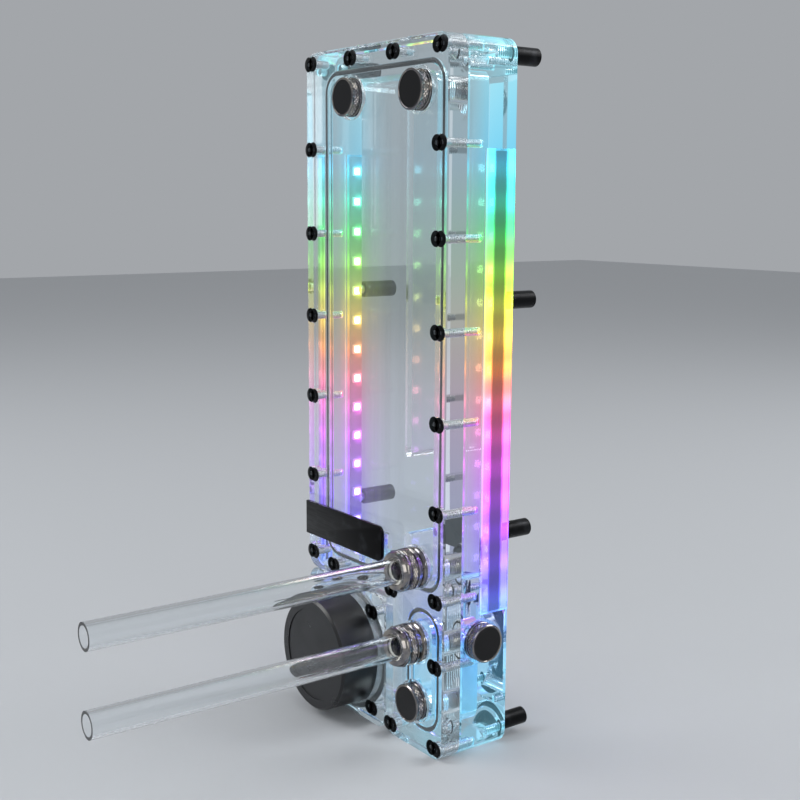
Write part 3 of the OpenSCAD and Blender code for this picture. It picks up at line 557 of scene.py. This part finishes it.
FINISHES = {
    "front_cover": CLEAR_PLATE, "pump_plate": CLEAR_PLATE, "reservoir_block": LIT_BLOCK,
    "standoffs": STANDOFF, "upper_tube": TUBE, "lower_tube": TUBE, "pump_can": CAN, "pump_end_cap": CAP,
    "rotor_cup": STEEL, "bearing_post": STEEL, "bearing_ball": BALL, "stator": CORE, "windings": WIRE,
    "control_board": BOARD, "impeller": IMPELLER, "rotor_magnet": MAGNET, "cable_grommet": RUBBER,
    "upper_fitting_body": NICKEL, "lower_fitting_body": NICKEL, "upper_grip_ring": GRIP,
    "lower_grip_ring": GRIP}
for name, node in NODES.items():
    node.data.materials.clear()
    node.data.materials.append(FINISHES.get(name, RUBBER))

# ---------------------------------------------------------------- modelling


def edit(piece):
    """Starts work on one piece alone."""
    if bpy.context.object and bpy.context.object.mode == "EDIT":
        bpy.ops.object.mode_set(mode="OBJECT")
    bpy.ops.object.select_all(action="DESELECT")
    piece.select_set(True)
    bpy.context.view_layer.objects.active = piece
    bpy.ops.object.mode_set(mode="EDIT")


def done():
    bpy.ops.object.mode_set(mode="OBJECT")
    bpy.ops.object.select_all(action="DESELECT")


def pick(piece, kind, wanted):
    """Selects the vertices, edges or faces that wanted says yes to."""
    bpy.ops.object.mode_set(mode="OBJECT")
    mesh = piece.data
    for group in (mesh.vertices, mesh.edges, mesh.polygons):
        for item in group:
            item.select = False
    for item in getattr(mesh, kind):
        item.select = wanted(item)
    bpy.ops.object.mode_set(mode="EDIT")
    bpy.ops.mesh.select_mode(type={"vertices": "VERT", "edges": "EDGE", "polygons": "FACE"}[kind])


def start(primitive, name, **settings):
    bpy.ops.object.select_all(action="DESELECT")
    getattr(bpy.ops.mesh, primitive + "_add")(**settings)
    piece = bpy.context.object
    piece.name = piece.data.name = name
    return piece


def turned(name, profile, sides=48):
    """A closed turned piece about +Z: a circle drawn out ring by ring along the profile's (radius, height)
    pairs, in mm, from its foot to its top."""
    radius, height = profile[0]
    piece = start("primitive_circle", name, vertices=sides, radius=radius * MM, fill_type="TRIFAN",
                  location=(0, 0, height * MM))
    bpy.ops.object.transform_apply(location=True)
    edit(piece)
    pick(piece, "vertices", lambda v: v.co.x ** 2 + v.co.y ** 2 > (0.5 * radius * MM) ** 2)
    for r, h in profile[1:]:
        bpy.ops.mesh.extrude_edges_move(TRANSFORM_OT_translate={"value": (0, 0, (h - height) * MM)})
        if r != radius:
            bpy.ops.transform.resize(value=(r / radius, r / radius, 1), center_override=(0, 0, h * MM))
        radius, height = r, h
    bpy.ops.mesh.edge_face_add()
    bpy.ops.mesh.select_all(action="SELECT")
    bpy.ops.mesh.normals_make_consistent(inside=False)
    done()
    return piece


def tube_of(name, profile, sides=48):
    """A turned ring with a hole: the profile runs round its section and closes on itself."""
    radius, height = profile[0]
    piece = start("primitive_circle", name, vertices=sides, radius=radius * MM, location=(0, 0, height * MM))
    bpy.ops.object.transform_apply(location=True)
    edit(piece)
    bpy.ops.mesh.select_all(action="SELECT")
    for r, h in profile[1:] + profile[:1]:
        bpy.ops.mesh.extrude_edges_move(TRANSFORM_OT_translate={"value": (0, 0, (h - height) * MM)})
        if r != radius:
            bpy.ops.transform.resize(value=(r / radius, r / radius, 1), center_override=(0, 0, h * MM))
        radius, height = r, h
    bpy.ops.mesh.select_all(action="SELECT")
    bpy.ops.mesh.remove_doubles(threshold=0.00001)
    bpy.ops.mesh.normals_make_consistent(inside=False)
    done()
    return piece


def knurl(piece, low, high, sides, rows, height):
    """Raises a diamond knurl on the band between two heights, by pulling every other crossing outwards."""
    edit(piece)
    step = (high - low) / rows

    def crossing(v):
        row = round((v.co.z / MM - low) / step)
        column = round((math.atan2(v.co.y, v.co.x) / (2 * math.pi) * sides) % sides) % sides
        return 0 < row < rows and abs(v.co.z / MM - low - row * step) < 0.01 and (row + column) % 2 == 0

    pick(piece, "vertices", crossing)
    radius = max((v.co.xy.length for v in piece.data.vertices if v.select), default=1) / MM
    grow = (radius + height) / radius
    bpy.ops.transform.resize(value=(grow, grow, 1), center_override=(0, 0, 0))
    pick(piece, "polygons", lambda f: low - 0.01 < f.center.z / MM < high + 0.01 and abs(f.normal.z) < 0.9)
    bpy.ops.mesh.quads_convert_to_tris(quad_method="SHORTEST_DIAGONAL")
    done()


def modifier(piece, kind, **settings):
    """Adds a modifier and applies it."""
    bpy.ops.object.select_all(action="DESELECT")
    piece.select_set(True)
    bpy.context.view_layer.objects.active = piece
    made = piece.modifiers.new(kind.lower(), kind)
    for key, value in settings.items():
        setattr(made, key, value)
    bpy.ops.object.modifier_apply(modifier=made.name)


def smooth(piece, degrees=32):
    bpy.ops.object.select_all(action="DESELECT")
    piece.select_set(True)
    bpy.context.view_layer.objects.active = piece
    bpy.ops.object.shade_smooth_by_angle(angle=math.radians(degrees))
    piece.select_set(False)


def join(name, *pieces):
    bpy.ops.object.select_all(action="DESELECT")
    for piece in pieces:
        piece.select_set(True)
    bpy.context.view_layer.objects.active = pieces[0]
    bpy.ops.object.join()
    pieces[0].name = pieces[0].data.name = name
    return pieces[0]


def copied(template, name, matrix, body, finish_slot, *nodes):
    """A copy of the template with its own mesh, put in its place and made part of the object."""
    piece = bpy.data.objects.new(name, template.data.copy())
    bpy.context.scene.collection.objects.link(piece)
    piece.data.transform(matrix)
    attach(piece, body)
    if nodes:
        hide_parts(*nodes)
    return piece


def places(node, apart):
    """The middles of the separate solids in a node that stand at least this far apart."""
    groups = []
    for v in NODES[node].data.vertices:
        for group in groups:
            if (Vector((v.co.x, v.co.z)) - group[0]).length < apart:
                group[1].append(v.co.copy())
                break
        else:
            groups.append((Vector((v.co.x, v.co.z)), [v.co.copy()]))
    middles = []
    for _, points in groups:
        low = Vector(min(p[i] for p in points) for i in range(3))
        high = Vector(max(p[i] for p in points) for i in range(3))
        middles.append((low + high) / 2)
    return sorted(middles, key=lambda p: (round(-p.z, 4), round(p.x, 4)))


def dismiss(*pieces):
    for piece in pieces:
        bpy.data.objects.remove(piece)


# ---- screws: countersunk, hexagon socket, 22 mm

thread = []
for turn in range(15):
    foot = 1.0 + turn * 1.2
    thread += [(1.72, foot), (2.0, foot + 0.35), (2.0, foot + 0.6), (1.72, foot + 0.95)]
screw = turned(
    "screw",
    [(1.2, 0), (1.72, 0.5)] + thread
        + [(2.0, 19.4), (2.05, 19.7), (3.9, 21.62), (4.0, 21.75), (3.92, 21.95), (3.8, 22)],
    32)
socket = start(
    "primitive_cylinder", "socket", vertices=6, radius=1.45 * MM, depth=4 * MM, location=(0, 0, 22 * MM))
bpy.ops.object.transform_apply(location=True)
modifier(screw, "BOOLEAN", object=socket, operation="DIFFERENCE", solver="EXACT")
smooth(screw, 28)
screw.data.materials.append(SCREW)
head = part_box("cover_screws")[0].y
for node in ("cover_screws", "pump_plate_screws"):
    for i, middle in enumerate(places(node, 7 * MM)):
        spot = Matrix.Translation((middle.x, head + 22 * MM, middle.z)) @ FRONT
        copied(screw, f"{node[:-1]}_{i + 1:02d}", spot, "plate", "black_screw", node)
dismiss(screw, socket)

# ---- plugs: knurled head with a lacquered face


def stem(radius):
    """A threaded stem 6.5 mm long, up to its neck under the head."""
    rings = [(radius - 0.9, -6.5), (radius - 0.5, -6.1)]
    for turn in range(3):
        foot = -5.9 + turn * 1.34
        rings += [(radius - 0.55, foot), (radius, foot + 0.45), (radius, foot + 0.65),
                  (radius - 0.55, foot + 1.1)]
    return rings + [(radius - 0.6, -1.2), (radius - 0.6, 0.9)]


plug = turned(
    "plug",
    stem(6.55)
        + [
        (8.6, 0.9), (8.6, 0.1), (9.7, 0.1), (9.9, 0.25), (9.9, 1.25), (9.75, 1.4), (9.3, 1.4), (9.3, 2.1),
        (9.75, 2.1), (9.9, 2.25), (9.9, 2.9), (9.75, 3.05), (9.3, 3.05), (9.3, 3.45), (9.55, 3.5),
        (9.55, 4.3), (9.55, 5.1), (9.55, 5.9), (9.55, 6.7), (9.3, 6.75), (9.3, 7.0), (9.8, 7.05), (9.9, 7.2),
        (9.9, 7.6), (9.5, 8.0), (9.1, 8.0), (8.95, 7.8), (8.8, 7.75)],
    60)
knurl(plug, 3.5, 6.7, 60, 4, 0.4)
edit(plug)
pick(plug, "polygons", lambda f: f.center.z > 7.6 * MM and f.center.xy.length < 4 * MM)
bpy.ops.mesh.inset(thickness=1.2 * MM)
bpy.ops.mesh.inset(thickness=5 * MM)
done()
smooth(plug, 30)
plug.data.materials.append(NICKEL)
plug.data.materials.append(PLUG_FACE)
for face in plug.data.polygons:
    face.material_index = 1 if face.center.z > 7.6 * MM and face.center.xy.length < 8.75 * MM else 0
for name in ("top_left_plug", "top_right_plug", "drain_plug", "side_plug"):
    low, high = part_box(name)
    middle = (low + high) / 2
    if name == "side_plug":
        spot = Matrix.Translation((high.x - 8 * MM, middle.y, middle.z)) @ SIDE
    else:
        spot = Matrix.Translation((middle.x, low.y + 8 * MM, middle.z)) @ FRONT
    copied(plug, name + "_turned", spot, name, "dark_nickel", name)
dismiss(plug)

# ---- fitting collars: a ring of small flats, a slanted knurl and a ring of large flats

core = tube_of(
    "collar_core",
    [
        (8.75, 5.4), (10.2, 5.4), (10.5, 5.7), (10.5, 6.0), (9.9, 6.1), (9.9, 7.9), (10.2, 8.0), (10.3, 8.1),
        (10.3, 11.2), (10.2, 11.3), (9.9, 11.4), (9.9, 11.7), (10.2, 14.4), (9.9, 15.6), (9.4, 16.5),
        (8.2, 16.5), (7.1, 16.2), (6.85, 15.9), (6.85, 15.25), (8.75, 15.15)],
    48)
small_flats = tube_of("small_flats", [(9.6, 6.2), (10.8, 6.2), (10.8, 7.7), (9.6, 7.7)], 24)
modifier(small_flats, "BEVEL", width=0.2 * MM, segments=1, limit_method="ANGLE", angle_limit=math.radians(12))
large_flats = tube_of("large_flats", [(9.6, 11.8), (10.5, 11.8), (10.8, 12.1), (10.8, 13.9), (10.2, 14.6),
                                      (9.6, 14.6)], 12)
modifier(
    large_flats, "BEVEL", width=0.25 * MM, segments=2, limit_method="ANGLE", angle_limit=math.radians(20))
band = tube_of("knurl_band", [(9.7, 8.2)] + [(10.4, 8.2 + i * 0.6) for i in range(6)] + [(9.7, 11.2)], 60)
knurl(band, 8.2, 11.2, 60, 5, 0.4)
for piece in (core, small_flats, large_flats, band):
    smooth(piece, 25)
collar = join("collar", core, small_flats, large_flats, band)
collar.data.materials.append(NICKEL)
for side in ("upper", "lower"):
    node = side + "_fitting_collar"
    low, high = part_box(node)
    spot = Matrix.Translation(((low.x + high.x) / 2, low.y + 16.5 * MM, (low.z + high.z) / 2)) @ FRONT
    copied(collar, node + "_turned", spot, side + "_collar", "dark_nickel", node)
dismiss(collar)

# ---- name strip: left bare

low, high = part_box("name_strip")
strip = start("primitive_cube", "name_strip_plate", size=1, location=(low + high) / 2, scale=high - low)
bpy.ops.object.transform_apply(location=True, scale=True)
edit(strip)
pick(strip, "edges", lambda e: all(strip.data.vertices[i].co.x > high.x - 0.1 * MM for i in e.vertices)
     and abs(strip.data.vertices[e.vertices[0]].co.y - strip.data.vertices[e.vertices[1]].co.y) > MM)
bpy.ops.mesh.bevel(offset=4 * MM, segments=10)
done()
modifier(strip, "BEVEL", width=0.3 * MM, segments=2, limit_method="ANGLE", angle_limit=math.radians(50))
smooth(strip, 40)
strip.data.materials.append(NAME_STRIP)
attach(strip, "plate")
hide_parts("name_strip")

# ---- lamps: a housing with a bowl of resin, facing +X

lamp = start("primitive_cube", "lamp", size=1, location=(0.8 * MM, 0, 0), scale=(1.6 * MM, 5 * MM, 5 * MM))
bpy.ops.object.transform_apply(location=True, scale=True)
edit(lamp)
pick(lamp, "polygons", lambda f: f.normal.x > 0.9)
bpy.ops.mesh.inset(thickness=0.45 * MM)
bpy.ops.mesh.bevel(offset=1.0 * MM, segments=3, affect="VERTICES")
done()
edit(lamp)
pick(lamp, "polygons", lambda f: f.normal.x > 0.9 and f.center.yz.length < 0.3 * MM)
bpy.ops.mesh.extrude_region_move(TRANSFORM_OT_translate={"value": (-0.25 * MM, 0, 0)})
bpy.ops.transform.resize(value=(1, 0.9, 0.9), center_override=(1.35 * MM, 0, 0))
done()
lamp.data.materials.append(PACKAGE)
lamp.data.materials.append(RESIN)
for face in lamp.data.polygons:
    face.material_index = 1 if face.normal.x > 0.9 and face.center.yz.length < 0.3 * MM else 0
for side, turn in (("left", 0), ("right", 180)):
    node = side + "_lamps"
    low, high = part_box(node)
    for i, middle in enumerate(places(node, 8 * MM)):
        spot = (Matrix.Translation((high.x if turn else low.x, middle.y, middle.z))
                @ Matrix.Rotation(math.radians(turn), 4, "Z"))
        copied(lamp, f"{side}_lamp_{i + 1:02d}", spot, "plate", "lamp", node)
dismiss(lamp)
for side in ("left", "right"):
    NODES[side + "_light_strip"].data.materials[0] = STRIP_BOARD

# ---------------------------------------------------------------- studio

floor = start("primitive_plane", "studio_floor", size=8, location=(0, 0, cad_low.z - 0.5 * MM))
bpy.ops.object.transform_apply(location=True)
ground, where = new_material("pale_floor")
floor.data.materials.append(finish(ground, add(ground, "ShaderNodeBsdfPrincipled", {
    "Base Color": tone("#A9ACB0"), "Roughness": 0.7})))
floor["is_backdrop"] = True

world = bpy.data.worlds.new("studio")
bpy.context.scene.world = world
world.use_nodes = True
tree = world.node_tree
ambient = tree.nodes["Background"]
ambient.inputs["Color"].default_value = tone("#E8EAEC")
ambient.inputs["Strength"].default_value = 0.75
backdrop = tree.nodes.new("ShaderNodeBackground")
backdrop.inputs["Color"].default_value = tone("#A3A6AA")
ray = tree.nodes.new("ShaderNodeLightPath")
seen = tree.nodes.new("ShaderNodeMath")
seen.operation = "MAXIMUM"
tree.links.new(ray.outputs["Is Camera Ray"], seen.inputs[0])
through = tree.nodes.new("ShaderNodeMath")
through.operation = "MAXIMUM"
tree.links.new(ray.outputs["Is Glossy Ray"], through.inputs[0])
tree.links.new(ray.outputs["Is Transmission Ray"], through.inputs[1])
tree.links.new(through.outputs[0], seen.inputs[1])
choice = tree.nodes.new("ShaderNodeMixShader")
tree.links.new(seen.outputs[0], choice.inputs[0])
tree.links.new(ambient.outputs[0], choice.inputs[1])
tree.links.new(backdrop.outputs[0], choice.inputs[2])
tree.links.new(choice.outputs[0], tree.nodes["World Output"].inputs["Surface"])


def soft_lamp(name, place, size, power):
    """A softbox that looks at the object's middle."""
    light = bpy.data.lights.new(name, "AREA")
    light.shape, light.size, light.energy = "SQUARE", size, power
    lamp = bpy.data.objects.new(name, light)
    bpy.context.scene.collection.objects.link(lamp)
    aim = (cad_low + cad_high) / 2 - Vector(place)
    lamp.matrix_world = Matrix.Translation(place) @ aim.to_track_quat("-Z", "Y").to_matrix().to_4x4()


soft_lamp("key_light", (-0.9, -1.2, 1.1), 0.9, 18)
soft_lamp("fill_light", (1.4, -0.5, 0.6), 1.2, 9)
soft_lamp("rim_light", (0.5, 1.3, 1.0), 0.8, 14)

low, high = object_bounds()
